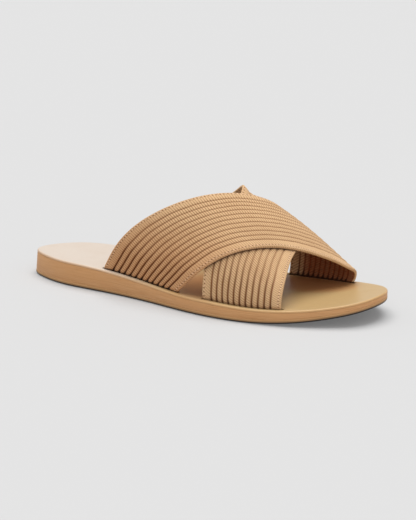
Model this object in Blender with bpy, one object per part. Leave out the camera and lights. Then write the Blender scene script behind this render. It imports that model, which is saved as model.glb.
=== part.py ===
"""Cross strap sandal, right foot: two ribbed straps that cross over the instep and
go down into slits along the edge of a flat leather sole.

Metres. +X runs from the heel to the toe, +Y to the big toe's side, +Z up.
The sole stands on z = 0, and the origin is below the middle of the whole shoe.
"""
import bmesh
import bpy
import numpy as np

MM = 0.001
GAP = 0.3 * MM                      # between two pieces that touch on the real shoe
SHARP_ANGLE = 0.7                   # radians; flatter edges are shaded smooth

# the sole's main sizes
SHOE_LENGTH = 255 * MM
BALL_WIDTH = 88 * MM
HEEL_THICKNESS = 16.7 * MM          # everything from the ground to the footbed
BALL_THICKNESS = 10.5 * MM
TOE_THICKNESS = 6.9 * MM
TOE_SPRING = 10.8 * MM              # how far the toe's underside is off the ground
SPRING_START = 0.68                 # shares of the length
WEDGE_START = 0.16
WEDGE_END = 0.56
THINNING_START = 0.60
OUTSOLE_THICKNESS = 3.0 * MM
INSOLE_THICKNESS = 1.5 * MM
EDGE_ROUND = 1.1 * MM               # top edge of the footbed
SOLE_ROUND = 0.7 * MM               # bottom edge of the outsole
HEEL_FLARE = 1.2 * MM               # how far the back of the heel leans out towards the ground
LAYER_FLARE = 0.8                   # share of the flare reached where outsole and midsole meet
FLARE_END = 0.22                    # station where this has died away
SEAM_ROUND = 0.2 * MM               # edges that face each other between two layers
ROUND_SHARE = 0.29                  # how far in a round edge's middle point lies, of its radius

# outline of the sole: station along the length, then each side as a share of the ball width
OUTLINE = [
    # station, little toe's side, big toe's side
    (0.055, 0.180, 0.230),
    (0.140, 0.275, 0.317),
    (0.260, 0.317, 0.319),
    (0.400, 0.381, 0.306),
    (0.520, 0.463, 0.372),
    (0.630, 0.507, 0.475),
    (0.740, 0.488, 0.517),
    (0.840, 0.418, 0.475),
    (0.920, 0.310, 0.378),
    (0.972, 0.189, 0.259),
]
HEEL_POINT = -0.020                 # side shift of the rearmost and foremost points
TOE_POINT = 0.057
FAN_START = 0.15                    # the sole's mesh fans round the heel behind this station
FAN_END = 0.85                      # and round the toe ahead of this one
SIDE_STATIONS = 22
FAN_POINTS = 15

# the straps
WALL = 2.4 * MM                     # thickness of the webbing over a rib
RIB_DEPTH = 0.8 * MM                # how deep the grooves lie between two ribs
RIBS = 10
REAR_BAND = 0.11                    # flat bands along the edges, shares of the strap's width
RIB_PITCH = 0.075
RIB_FLANK = 0.24                    # share of the pitch that one flank takes
EDGE_SOFT = 0.5 * MM                # rounding of the webbing's own edges
EDGE_SHARE = 0.012                  # share of the width that this rounding takes
INNER_COLUMNS = 11                  # points across the face that lies on the foot
OVERLAP_RISE = 1.3 * MM             # how far the upper strap rises where it crosses the lower
SLIT_INSET = 3.2 * MM               # from the sole's edge to the strap's outer face
TONGUE = 3.2 * MM                   # how far a strap's end goes down from the footbed
SLIT_POINTS = 15                    # points along a slit
CUTTER_RISE = 2.0 * MM              # how far a cutter stands above the footbed

# the instep that both straps lie on: crown height above the footbed as a share of
# CROWN_HEIGHT, and how far the crown lies to the big toe's side as a share of the ball width
CROWN_HEIGHT = 70 * MM
INSTEP = [
    # station, crown height, crown shift
    (0.235, 1.070, 0.180),
    (0.412, 1.000, 0.235),
    (0.588, 0.800, 0.234),
    (0.765, 0.455, 0.140),
    (0.922, 0.000, 0.010),
]
FULL_OUTER = 2.30                   # fullness of the arch on the little toe's side
FULL_INNER = 2.05
BULGE_OUTER = 1.5 * MM              # how far the arch stands out past its own feet
BULGE_INNER = 2.0 * MM
CROWN_EASE = 1.5                    # how closely the crown's shift stays round the crown

# where each strap's two edges run: share of the way over the arch from the little toe's
# side, then the stations of the rear and the front edge
UPPER_STRAP = [
    # way over, rear edge, front edge
    (0.00, 0.257, 0.500),
    (0.18, 0.338, 0.620),
    (0.36, 0.471, 0.738),
    (0.52, 0.576, 0.805),
    (0.68, 0.644, 0.844),
    (0.84, 0.668, 0.868),
    (1.00, 0.671, 0.863),
]
LOWER_STRAP = [
    # way over, rear edge, front edge
    (0.00, 0.583, 0.795),
    (0.18, 0.577, 0.789),
    (0.36, 0.580, 0.774),
    (0.52, 0.580, 0.766),
    (0.68, 0.518, 0.744),
    (0.84, 0.368, 0.671),
    (1.00, 0.237, 0.553),
]
STRAP_ROWS = 27                     # sections along a strap, above the footbed
ARCH_POINTS = 90                    # points that measure the way over the arch
OUTLINE_POINTS = 1600               # points that measure the sole's outline
PROBE = 1.0 * MM                    # steps that measure how the instep leans
PROBE_WAY = 0.01
ABOVE = 20 * MM                     # weight that turns a crown's normal upwards
SETTLE = 0.16                       # share of the way over where a raised strap has come up

# plain finishes: name, red, green and blue screen values, roughness
OUTSOLE_FINISH = ("outsole_rubber", 166, 128, 90, 0.60)
MIDSOLE_FINISH = ("midsole_leather", 166, 122, 80, 0.55)
INSOLE_FINISH = ("insole_leather", 222, 190, 154, 0.42)
STRAP_FINISH = ("strap_webbing", 186, 146, 104, 0.85)


def smoothstep(start, end, value):
    """0 before start, 1 after end, and an easy S between them."""
    share = np.clip((np.asarray(value, float) - start) / (end - start), 0, 1)
    return share * share * (3 - 2 * share)


def natural_spline(knots, values):
    """Smooth curve through a table's rows, with no bend at either end."""
    knots = np.asarray(knots, float)
    values = np.asarray(values, float)
    steps = np.diff(knots)
    slopes = np.diff(values) / steps
    matrix = np.eye(len(knots))
    right = np.zeros(len(knots))
    for i in range(1, len(knots) - 1):
        matrix[i, i - 1:i + 2] = steps[i - 1], 2 * (steps[i - 1] + steps[i]), steps[i]
        right[i] = 6 * (slopes[i] - slopes[i - 1])
    bend = np.linalg.solve(matrix, right)

    def at(place):
        place = np.asarray(place, float)
        row = np.clip(np.searchsorted(knots, place) - 1, 0, len(steps) - 1)
        reach = place - knots[row]
        lean = slopes[row] - steps[row] * (2 * bend[row] + bend[row + 1]) / 6
        curl = (bend[row + 1] - bend[row]) / (6 * steps[row])
        return values[row] + reach * (lean + reach * (bend[row] / 2 + reach * curl))

    return at


def sole_outline():
    """Dense outline of the sole, from the heel along the little toe's side and back."""
    outer = [(s * SHOE_LENGTH, -side * BALL_WIDTH) for s, side, _ in OUTLINE]
    inner = [(s * SHOE_LENGTH, side * BALL_WIDTH) for s, _, side in reversed(OUTLINE)]
    heel = [(0.0, HEEL_POINT * BALL_WIDTH)]
    toe = [(SHOE_LENGTH, TOE_POINT * BALL_WIDTH)]
    ring = heel + outer + toe + inner
    lead = len(OUTLINE) // 2
    points = np.array(ring[-lead:] + ring + ring[:lead + 1])
    reach = np.sqrt(np.hypot(*np.diff(points, axis=0).T))
    way = np.concatenate([[0], np.cumsum(reach)])
    places = np.linspace(way[lead], way[lead + len(ring)], OUTLINE_POINTS)
    return np.stack([natural_spline(way, points[:, k])(places) for k in (0, 1)], axis=1)


def moved_in(loop, distance):
    """A counter-clockwise loop moved inwards by a distance."""
    along = np.roll(loop, -1, axis=0) - np.roll(loop, 1, axis=0)
    along /= np.linalg.norm(along, axis=1, keepdims=True)
    return loop + distance * np.stack([-along[:, 1], along[:, 0]], axis=1)


OUTLINE_LOOP = sole_outline()[:-1]


def side_curves(loop):
    """Side distances of a loop as functions of x: little toe's side, big toe's side."""
    tip = int(np.argmax(loop[:, 0]))
    outer = loop[:tip + 1]
    inner = np.concatenate([loop[tip:], loop[:1]])[::-1]

    def curve(half):
        half = half[np.argsort(half[:, 0])]
        return lambda x: np.interp(x, half[:, 0], half[:, 1])

    return curve(outer), curve(inner)


def underside(x):
    """Height of the sole's underside above the ground."""
    lift = np.clip((np.asarray(x, float) / SHOE_LENGTH - SPRING_START) / (1 - SPRING_START), 0, None)
    return TOE_SPRING * lift ** 2


def footbed(x):
    """Height of the footbed above the ground."""
    share = np.asarray(x, float) / SHOE_LENGTH
    thickness = HEEL_THICKNESS + (BALL_THICKNESS - HEEL_THICKNESS) * smoothstep(
        WEDGE_START, WEDGE_END, share)
    thinner = np.clip((share - THINNING_START) / (1 - THINNING_START), 0, 1)
    return underside(x) + thickness + (TOE_THICKNESS - BALL_THICKNESS) * thinner


def new_object(name, verts, faces, collection):
    """A closed mesh object with its faces turned outwards, moved to the row's origin."""
    mesh = bpy.data.meshes.new(name)
    shift = np.array([-MIDDLE_X, -MIDDLE_Y, 0.0])
    mesh.from_pydata([tuple(np.asarray(v) + shift) for v in verts], [], faces)
    shell = bmesh.new()
    shell.from_mesh(mesh)
    bmesh.ops.recalc_face_normals(shell, faces=shell.faces)
    bmesh.ops.triangulate(shell, faces=shell.faces)
    shell.to_mesh(mesh)
    shell.free()
    mesh.shade_smooth()
    mesh.set_sharp_from_angle(angle=SHARP_ANGLE)
    obj = bpy.data.objects.new(name, mesh)
    collection.objects.link(obj)
    return obj


def rim_loop():
    """The outline at the stations of the sole's mesh: outer side, toe, inner side, heel."""
    outer, inner = side_curves(OUTLINE_LOOP)
    stations = np.linspace(FAN_START, FAN_END, SIDE_STATIONS) * SHOE_LENGTH
    outer_side = np.stack([stations, outer(stations)], axis=1)
    inner_side = np.stack([stations, inner(stations)], axis=1)[::-1]

    def fan(points):
        way = np.concatenate([[0], np.cumsum(np.hypot(*np.diff(points, axis=0).T))])
        places = np.linspace(0, way[-1], FAN_POINTS + 2)[1:-1]
        return np.stack([np.interp(places, way, points[:, k]) for k in (0, 1)], axis=1)

    toe = OUTLINE_LOOP[OUTLINE_LOOP[:, 0] > stations[-1]]
    turned = np.roll(OUTLINE_LOOP, OUTLINE_POINTS // 2, axis=0)
    heel = turned[turned[:, 0] < stations[0]]
    return np.concatenate([outer_side, fan(toe), inner_side, fan(heel)])


RIM = rim_loop()
MIDDLE_X = (RIM[:, 0].max() + RIM[:, 0].min() - HEEL_FLARE) / 2
MIDDLE_Y = (RIM[:, 1].max() + RIM[:, 1].min()) / 2


def sole_layer(name, rim_rows, collection):
    """A layer of the sole, from the rim of its top face down to the rim of its bottom face.

    Each rim row is an inset from the outline, the share of the heel's flare that it has
    reached, and the surface that it lies on. The two faces close over a spine.
    """
    count = len(RIM)
    verts = []
    faces = []
    flare = HEEL_FLARE * (1 - smoothstep(0, FLARE_END, RIM[:, 0] / SHOE_LENGTH))
    for inset, flared, surface in rim_rows:
        ring = moved_in(RIM, (inset - flared * flare)[:, None])
        verts += list(np.column_stack([ring, surface(ring[:, 0])]))
    last = len(rim_rows) - 1
    for row in range(last):
        for i in range(count):
            j = (i + 1) % count
            faces.append((row * count + i, row * count + j,
                          (row + 1) * count + j, (row + 1) * count + i))
    for row in (0, last):
        close_over(verts, faces, row * count, count, rim_rows[row][2])
    return new_object(name, verts, faces, collection)


def close_over(verts, faces, first, count, surface):
    """Close a rim with one inner ring and a spine, all on one surface."""
    ring = np.array(verts[first:first + count])[:, :2]
    sides = SIDE_STATIONS
    inner = ring[sides + FAN_POINTS:2 * sides + FAN_POINTS][::-1]
    spine = (ring[:sides] + inner) / 2
    partner = np.empty((count, 2))
    spine_index = np.empty(count, int)
    for i in range(count):
        if i < sides:
            k = i
        elif i < sides + FAN_POINTS:
            k = sides - 1
        elif i < 2 * sides + FAN_POINTS:
            k = 2 * sides + FAN_POINTS - 1 - i
        else:
            k = 0
        partner[i] = spine[k]
        spine_index[i] = k
    halfway = (ring + partner) / 2
    ring_start = len(verts)
    verts += list(np.column_stack([halfway, surface(halfway[:, 0])]))
    spine_start = len(verts)
    verts += list(np.column_stack([spine, surface(spine[:, 0])]))
    for i in range(count):
        j = (i + 1) % count
        faces.append((first + i, first + j, ring_start + j, ring_start + i))
        near = (ring_start + i, ring_start + j, spine_start + spine_index[j], spine_start + spine_index[i])
        faces.append(near if near[2] != near[3] else near[:3])


# the arch of the instep
FEET_OUTER, FEET_INNER = side_curves(moved_in(OUTLINE_LOOP, SLIT_INSET))
INSTEP_STATIONS = [row[0] * SHOE_LENGTH for row in INSTEP]
CROWN = natural_spline(INSTEP_STATIONS, [row[1] * CROWN_HEIGHT for row in INSTEP])
CROWN_SHIFT = natural_spline(INSTEP_STATIONS, [row[2] * BALL_WIDTH for row in INSTEP])
TURN = np.linspace(0, np.pi, ARCH_POINTS)[None, :]


def instep(x, way, rise):
    """Points of the instep at x, a share of the way over its arch, raised by a little."""
    outer = FEET_OUTER(x)
    inner = FEET_INNER(x)
    middle = ((inner + outer) / 2)[:, None]
    half = ((inner - outer) / 2)[:, None]
    cosine = np.cos(TURN)
    sine = np.clip(np.sin(TURN), 0, 1)
    over = smoothstep(0, 1, (1 - cosine) / 2)
    power = (1 - over) * 2 / FULL_OUTER + over * 2 / FULL_INNER
    bulge = (1 - over) * BULGE_OUTER + over * BULGE_INNER
    side = (middle - np.sign(cosine) * np.abs(cosine) ** power * half
            + CROWN_SHIFT(x)[:, None] * sine ** CROWN_EASE - np.sin(2 * TURN) * bulge)
    height = CROWN(x)[:, None] * sine ** power
    reach = np.hypot(np.diff(side, axis=1), np.diff(height, axis=1))
    way_over = np.concatenate([np.zeros((len(x), 1)), np.cumsum(reach, axis=1)], axis=1)
    points = []
    for i in range(len(x)):
        place = way[i] * way_over[i, -1]
        points.append((x[i], np.interp(place, way_over[i], side[i]),
                       footbed(x[i]) + np.interp(place, way_over[i], height[i])))
    points = np.array(points)
    if rise is not None:
        points = points + outward(x, way) * rise[:, None]
    return points


def outward(x, way):
    """Unit normals of the instep, pointing away from the foot."""
    ahead = instep(x + PROBE, way, None) - instep(x - PROBE, way, None)
    up = np.clip(way + PROBE_WAY, 0, 1)
    down = np.clip(way - PROBE_WAY, 0, 1)
    across = instep(x, up, None) - instep(x, down, None)
    normal = np.cross(ahead, across)
    at_foot = (way <= 0) | (way >= 1)
    normal[at_foot, 2] = 0
    normal /= np.linalg.norm(normal, axis=1, keepdims=True)
    middle = (FEET_OUTER(x) + FEET_INNER(x)) / 2
    away = instep(x, way, None)[:, 1] - middle
    facing = np.sign(normal[:, 1] * away + normal[:, 2] * ABOVE)
    return normal * facing[:, None]


def webbing_section():
    """Across a strap, once round: share of its width and depth below its outer face."""
    outer = [(0.0, EDGE_SOFT), (EDGE_SHARE, 0.0)]
    flank = RIB_FLANK * RIB_PITCH
    for rib in range(RIBS + 1):
        groove = REAR_BAND + RIB_PITCH * rib
        outer += [(groove - flank, 0.0), (groove, RIB_DEPTH), (groove + flank, 0.0)]
    outer += [(1 - EDGE_SHARE, 0.0), (1.0, EDGE_SOFT)]
    return outer + [(share, WALL) for share in np.linspace(1, 0, INNER_COLUMNS)]


def strap(name, table, rise, collection):
    """One webbing strap, from its tongue in one slit over the arch to the other slit."""
    ways = [row[0] for row in table]
    rear = natural_spline(ways, [row[1] * SHOE_LENGTH for row in table])
    front = natural_spline(ways, [row[2] * SHOE_LENGTH for row in table])
    section = webbing_section()
    share = np.array([s for s, _ in section])
    depth = np.array([d for _, d in section])
    count = len(section)
    verts = []
    for way in np.linspace(0, 1, STRAP_ROWS):
        x = rear(way) + (front(way) - rear(way)) * share
        along = np.full(count, way)
        lifted = rise * smoothstep(0, SETTLE, way) * smoothstep(0, SETTLE, 1 - way)
        row = instep(x, along, np.full(count, float(lifted)) - depth)
        if way in (0, 1):
            tongue = row.copy()
            tongue[:, 2] = footbed(tongue[:, 0]) - TONGUE
            verts += [tongue, row] if way == 0 else [row, tongue]
        else:
            verts.append(row)
    rows = len(verts)
    verts = list(np.concatenate(verts))
    faces = []
    for r in range(rows - 1):
        for i in range(count):
            j = (i + 1) % count
            faces.append((r * count + i, r * count + j, (r + 1) * count + j, (r + 1) * count + i))
    faces.append(tuple(range(count)))
    faces.append(tuple(range((rows - 1) * count, rows * count)))
    return new_object(name, verts, faces, collection)


def slit_cutter(name, rear, front, side, depth, collection):
    """Cutter for one slit: the strap's foot with the gap all round, down to a depth."""
    curve = FEET_OUTER if side < 0 else FEET_INNER
    x = np.linspace(rear - GAP, front + GAP, SLIT_POINTS)
    feet = np.column_stack([x, curve(x)])
    along = np.gradient(feet, axis=0)
    along /= np.linalg.norm(along, axis=1, keepdims=True)
    inward = np.column_stack([along[:, 1], -along[:, 0]]) * side
    ring = np.concatenate([feet - inward * GAP, (feet + inward * (WALL + GAP))[::-1]])
    count = len(ring)
    heights = footbed(ring[:, 0])
    verts = list(np.column_stack([ring, heights + CUTTER_RISE]))
    verts += list(np.column_stack([ring, heights - depth]))
    faces = [(i, (i + 1) % count, count + (i + 1) % count, count + i) for i in range(count)]
    for start in (0, count):
        for i in range(SLIT_POINTS - 1):
            faces.append((start + i, start + i + 1, start + count - 2 - i, start + count - 1 - i))
    return new_object(name, verts, faces, collection)


def cut(target, cutter, operation):
    """Boolean with the exact solver, applied when the shapes are read."""
    boolean = target.modifiers.new(operation.lower() + "_" + cutter.name, "BOOLEAN")
    boolean.operation = operation
    boolean.solver = "EXACT"
    boolean.object = cutter


def colour(red, green, blue):
    """Linear colour from eight-bit screen values."""
    values = []
    for part in (red, green, blue):
        share = part / 255
        values.append(share / 12.92 if share <= 0.04045 else ((share + 0.055) / 1.055) ** 2.4)
    return (*values, 1.0)


def finish(obj, row):
    """Give a piece its own plain material, from its row of name, colour and roughness."""
    name, red, green, blue, roughness = row
    base = colour(red, green, blue)
    material = bpy.data.materials.new(name)
    material.use_nodes = True
    shader = material.node_tree.nodes["Principled BSDF"]
    shader.inputs["Base Color"].default_value = base
    shader.inputs["Roughness"].default_value = roughness
    shader.inputs["Metallic"].default_value = 0.0
    material.diffuse_color = base
    obj.data.materials.clear()
    obj.data.materials.append(material)


for old in list(bpy.data.objects):
    bpy.data.objects.remove(old, do_unlink=True)

sandal = bpy.data.collections.new("cross_strap_sandal")
cutters = bpy.data.collections.new("cutters")
bpy.context.scene.collection.children.link(sandal)
bpy.context.scene.collection.children.link(cutters)


def raised(surface, height):
    """A surface moved up by a height."""
    return lambda x: surface(x) + height


insole_bottom = raised(footbed, -INSOLE_THICKNESS)
midsole_top = raised(insole_bottom, -GAP)
outsole_top = raised(underside, OUTSOLE_THICKNESS)
midsole_bottom = raised(outsole_top, GAP)

outsole = sole_layer(
    "outsole",
    [(SEAM_ROUND, LAYER_FLARE, outsole_top),
     (0.0, LAYER_FLARE, raised(outsole_top, -SEAM_ROUND)),
     (0.0, 1.0, raised(underside, SOLE_ROUND)),
     (ROUND_SHARE * SOLE_ROUND, 1.0, raised(underside, ROUND_SHARE * SOLE_ROUND)),
     (SOLE_ROUND, 1.0, underside)],
    sandal)

midsole = sole_layer(
    "midsole",
    [(SEAM_ROUND, 0.0, midsole_top),
     (0.0, 0.0, raised(midsole_top, -SEAM_ROUND)),
     (0.0, LAYER_FLARE, raised(midsole_bottom, SEAM_ROUND)),
     (SEAM_ROUND, LAYER_FLARE, midsole_bottom)],
    sandal)

insole = sole_layer(
    "insole",
    [(EDGE_ROUND, 0.0, footbed),
     (ROUND_SHARE * EDGE_ROUND, 0.0, raised(footbed, -ROUND_SHARE * EDGE_ROUND)),
     (0.0, 0.0, raised(footbed, -EDGE_ROUND)),
     (0.0, 0.0, raised(insole_bottom, SEAM_ROUND)),
     (SEAM_ROUND, 0.0, insole_bottom)],
    sandal)

upper = strap("upper", UPPER_STRAP, OVERLAP_RISE, sandal)
lower_strap = strap("lower_strap", LOWER_STRAP, 0.0, cutters)
cut(upper, lower_strap, "UNION")

for table, label in ((UPPER_STRAP, "upper_strap"), (LOWER_STRAP, "lower_strap")):
    for row, side in ((table[0], -1), (table[-1], 1)):
        name = label + ("_outer" if side < 0 else "_inner") + "_slit"
        rear = row[1] * SHOE_LENGTH
        front = row[2] * SHOE_LENGTH
        slit = slit_cutter(name, rear, front, side, TONGUE + GAP, cutters)
        cut(insole, slit, "DIFFERENCE")
        cut(midsole, slit, "DIFFERENCE")

for cutter in cutters.objects:
    cutter.hide_render = True
    cutter.display_type = "WIRE"

finish(outsole, OUTSOLE_FINISH)
finish(midsole, MIDSOLE_FINISH)
finish(insole, INSOLE_FINISH)
finish(upper, STRAP_FINISH)
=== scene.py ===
# %% [markdown]
# # A cross strap sandal, from its solids to its looks
#
# The sandal is a flat leather sole with two wide straps of ribbed webbing that cross over
# the instep. Its solids are already made and packed. This lesson loads them as a fixed
# frame and dresses them: every visible piece is built again with finer faces, on the same
# sizes, and gets a finish of its own. All lengths are metres; +X runs to the toe, +Y to
# the big toe's side and +Z up.

# %% Load the packed sandal
import math

import bmesh
import bpy
import numpy as np
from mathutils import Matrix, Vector


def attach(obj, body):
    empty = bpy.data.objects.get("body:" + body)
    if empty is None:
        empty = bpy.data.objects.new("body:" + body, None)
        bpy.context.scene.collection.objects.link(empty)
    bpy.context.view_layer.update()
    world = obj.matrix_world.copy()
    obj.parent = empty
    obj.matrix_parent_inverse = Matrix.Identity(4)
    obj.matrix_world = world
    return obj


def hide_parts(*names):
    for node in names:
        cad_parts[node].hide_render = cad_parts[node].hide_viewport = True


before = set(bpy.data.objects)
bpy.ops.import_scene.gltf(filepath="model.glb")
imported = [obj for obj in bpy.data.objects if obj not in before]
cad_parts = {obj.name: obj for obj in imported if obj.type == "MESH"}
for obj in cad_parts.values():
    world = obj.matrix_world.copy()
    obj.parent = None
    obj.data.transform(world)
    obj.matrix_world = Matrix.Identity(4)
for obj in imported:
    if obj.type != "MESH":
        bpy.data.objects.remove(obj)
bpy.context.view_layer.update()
MM = 0.001

# %% [markdown]
# ## Camera
#
# The photograph looks down on the little toe's side from in front of the toe's quarter,
# with a long lens. A camera could be set by eye, but a shoe's proportions change a lot
# with the angle, so the place was worked out from the sole's outline. The camera stands
# where the photograph's stood and turns towards the middle of the one shoe. The lens is
# longer, so that the shoe fills the picture.

# %% Place the camera
CAMERA_PLACE = Vector((0.5865, -1.0902, 0.3684))
CAMERA_TARGET = Vector((0.004, 0.0, 0.024))
LENS = 135                               # millimetres on a sensor 36 mm tall
FAR_CLIP = 60                            # metres, well beyond the floor's far edge

camera_data = bpy.data.cameras.new("camera")
camera_data.lens = LENS
camera_data.clip_end = FAR_CLIP
camera = bpy.data.objects.new("camera", camera_data)
camera.location = CAMERA_PLACE
camera.rotation_euler = (CAMERA_TARGET - CAMERA_PLACE).to_track_quat("-Z", "Y").to_euler()
bpy.context.scene.collection.objects.link(camera)
bpy.context.scene.camera = camera
bpy.context.scene.view_settings.view_transform = "Standard"
print("camera is", round((CAMERA_TARGET - CAMERA_PLACE).length, 3), "m from the shoe")

# %% [markdown]
# ## Colours
#
# Colours are easiest to compare with a photograph as screen values from 0 to 255, but the
# renderer works with linear light. One small function turns the first into the second.

# %% Screen colours
def screen(red, green, blue):
    """Linear colour of a screen colour."""
    linear = []
    for part in (red, green, blue):
        share = part / 255
        linear.append(share / 12.92 if share <= 0.04045 else ((share + 0.055) / 1.055) ** 2.4)
    return (*linear, 1.0)


print("a screen grey of 128 is", round(screen(128, 128, 128)[0], 3), "in linear light")

# %% [markdown]
# ## Nodes
#
# Every finish of the shoe is a tree of nodes. It could be wired by hand in the shader
# editor, but code can be read, repeated and corrected in one place. A few helpers keep the
# wiring short: each one puts in a node, fills or links its sockets, and gives its output.

# %% Helpers of a finish
class Finish:
    """A material's node tree, with short calls for the nodes that the finishes use."""

    def __init__(self, name):
        self.material = bpy.data.materials.new(name)
        self.material.use_nodes = True
        self.nodes = self.material.node_tree.nodes
        self.links = self.material.node_tree.links
        self.shader = self.nodes["Principled BSDF"]

    def put(self, value, socket):
        if isinstance(value, bpy.types.NodeSocket):
            self.links.new(value, socket)
        else:
            socket.default_value = value

    def math(self, operation, *values):
        node = self.nodes.new("ShaderNodeMath")
        node.operation = operation
        for value, socket in zip(values, node.inputs):
            self.put(value, socket)
        return node.outputs[0]

    def attribute(self, name, output="Fac"):
        node = self.nodes.new("ShaderNodeAttribute")
        node.attribute_name = name
        return node.outputs[output]

    def place(self):
        """The point's own place on the shoe, in metres."""
        return self.nodes.new("ShaderNodeTexCoord").outputs["Object"]

    def scaled(self, vector, scale):
        node = self.nodes.new("ShaderNodeVectorMath")
        node.operation = "MULTIPLY"
        self.put(vector, node.inputs[0])
        node.inputs[1].default_value = scale
        return node.outputs[0]

    def apart(self, vector):
        node = self.nodes.new("ShaderNodeSeparateXYZ")
        self.put(vector, node.inputs[0])
        return node.outputs

    def noise(self, vector, scale, detail=2.0, roughness=0.5):
        node = self.nodes.new("ShaderNodeTexNoise")
        self.put(vector, node.inputs["Vector"])
        node.inputs["Scale"].default_value = scale
        node.inputs["Detail"].default_value = detail
        node.inputs["Roughness"].default_value = roughness
        return node.outputs["Fac"]

    def cells(self, vector, scale):
        """Distance to the nearest cell's middle: the pebbles of a grain."""
        node = self.nodes.new("ShaderNodeTexVoronoi")
        self.put(vector, node.inputs["Vector"])
        node.inputs["Scale"].default_value = scale
        return node.outputs["Distance"]

    def ramp(self, value, low, high, start=0.0, end=1.0):
        """A smooth change from start to end while value goes from low to high."""
        node = self.nodes.new("ShaderNodeMapRange")
        node.interpolation_type = "SMOOTHSTEP"
        for number, socket in zip((value, low, high, start, end), node.inputs):
            self.put(number, socket)
        return node.outputs[0]

    def mix(self, share, first, second):
        node = self.nodes.new("ShaderNodeMix")
        node.data_type = "RGBA"
        self.put(share, node.inputs["Factor"])
        self.put(first, node.inputs[6])
        self.put(second, node.inputs[7])
        return node.outputs[2]

    def bump(self, height, distance):
        node = self.nodes.new("ShaderNodeBump")
        node.inputs["Distance"].default_value = distance
        self.put(height, node.inputs["Height"])
        return node.outputs[0]

    def set(self, **sockets):
        """Put values or links on the shader, with _ for the spaces of a socket's name."""
        for name, value in sockets.items():
            self.put(value, self.shader.inputs[name.replace("_", " ")])


helpers = [name for name in vars(Finish) if not name.startswith("__")]
print("helpers of a finish:", ", ".join(helpers))

# %% [markdown]
# ## Floor
#
# The shoe stands on a seamless pale floor. A curved backdrop would also do, but one wide
# flat face has no seam that a camera could find. It is a pale grey that glows a little, so
# that the ground beyond the shadow stays as pale as in a studio. The floor is a plain
# stage and no part of the shoe.

# %% Build the floor
FLOOR_SIZE = 24.0
FLOOR_COLOUR = (0.448, 0.437, 0.435, 1.0)
FLOOR_GLOW = 0.13
WHITE = (1.0, 1.0, 1.0, 1.0)
half = FLOOR_SIZE / 2
corners = [(-half, -half, 0), (half, -half, 0), (half, half, 0), (-half, half, 0)]
floor_mesh = bpy.data.meshes.new("floor")
floor_mesh.from_pydata(corners, [], [(0, 1, 2, 3)])
floor = bpy.data.objects.new("floor", floor_mesh)
bpy.context.scene.collection.objects.link(floor)
floor_paint = Finish("pale_floor")
floor_paint.set(Base_Color=FLOOR_COLOUR, Roughness=0.9, Specular_IOR_Level=0.0,
                Emission_Color=WHITE, Emission_Strength=FLOOR_GLOW)
floor_mesh.materials.append(floor_paint.material)
print("floor is", FLOOR_SIZE, "m wide")

# %% [markdown]
# ## Surround
#
# The pale walls of a studio fill the shade, and they show as the faint gloss on the
# leather. A picture of a studio could be wrapped round the scene, but two brightnesses are
# enough: a lighter band near the horizon, and a quieter sky above, where a lamp takes over.

# %% Build the surround
HORIZON = 0.77                           # brightness of the surround low down
ABOVE = 0.44                             # and higher up
CHANGE = (0.03, 0.16)                    # between these heights; 0 is level, 1 is straight up
SURROUND_COLOUR = (1.0, 1.0, 0.997, 1.0)
world = bpy.data.worlds.new("surround")
world.use_nodes = True
background = world.node_tree.nodes["Background"]
direction = world.node_tree.nodes.new("ShaderNodeTexCoord")
height = world.node_tree.nodes.new("ShaderNodeSeparateXYZ")
falloff = world.node_tree.nodes.new("ShaderNodeMapRange")
world.node_tree.links.new(direction.outputs["Generated"], height.inputs[0])
world.node_tree.links.new(height.outputs["Z"], falloff.inputs["Value"])
for socket, value in zip(list(falloff.inputs)[1:5], (*CHANGE, HORIZON, ABOVE)):
    socket.default_value = value
world.node_tree.links.new(falloff.outputs[0], background.inputs["Strength"])
background.inputs["Color"].default_value = SURROUND_COLOUR
bpy.context.scene.world = world
print("surround goes from", HORIZON, "at the horizon to", ABOVE, "above")

# %% [markdown]
# ## Lamps
#
# The main light is soft and comes from above, a little from behind the heel. A lamp with a
# large angle gives such a soft shadow without a visible edge. A second lamp, wide and
# weak, stands in front of the toe and opens the shade there. Both are suns, because an
# area lamp would light the near side of the shoe more than the far side.

# %% Place the lamps
LAMPS = {
    # where it shines from, strength, width in degrees, colour
    "overhead": (Vector((-0.07, 0.12, 1.0)), 3.05, 55, (0.955, 0.99, 1.0)),
    "toe_fill": (Vector((0.65, -0.45, 0.45)), 0.55, 80, (1.0, 1.0, 1.0)),
}
for name, (side, strength, width, colour) in LAMPS.items():
    lamp_data = bpy.data.lights.new(name, "SUN")
    lamp_data.energy = strength
    lamp_data.angle = math.radians(width)
    lamp_data.color = colour
    lamp = bpy.data.objects.new(name, lamp_data)
    lamp.rotation_euler = side.to_track_quat("Z", "Y").to_euler()
    bpy.context.scene.collection.objects.link(lamp)
    print(name, "lamp leans", round(math.degrees(side.angle(Vector((0, 0, 1))))), "degrees")

# %% [markdown]
# ## The sole's outline
#
# A shoemaker starts from the outline of the last's bottom. It could be drawn as a curve
# object, but every layer and both straps need it as numbers, so it is one table: stations
# along the length with the distance to each side as a share of the ball's width, and a
# smooth spline through them.

# %% The outline's table and the curves that everything shares
SHOE_LENGTH = 255 * MM
BALL_WIDTH = 88 * MM
MIDDLE = np.array([126.81 * MM, 0.36 * MM])   # from the heel's end to the row's origin
OUTLINE = [
    # station, little toe's side, big toe's side
    (0.055, 0.180, 0.230),
    (0.140, 0.275, 0.317),
    (0.260, 0.317, 0.319),
    (0.400, 0.381, 0.306),
    (0.520, 0.463, 0.372),
    (0.630, 0.507, 0.475),
    (0.740, 0.488, 0.517),
    (0.840, 0.418, 0.475),
    (0.920, 0.310, 0.378),
    (0.972, 0.189, 0.259),
]
HEEL_POINT = -0.020
TOE_POINT = 0.057


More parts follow.
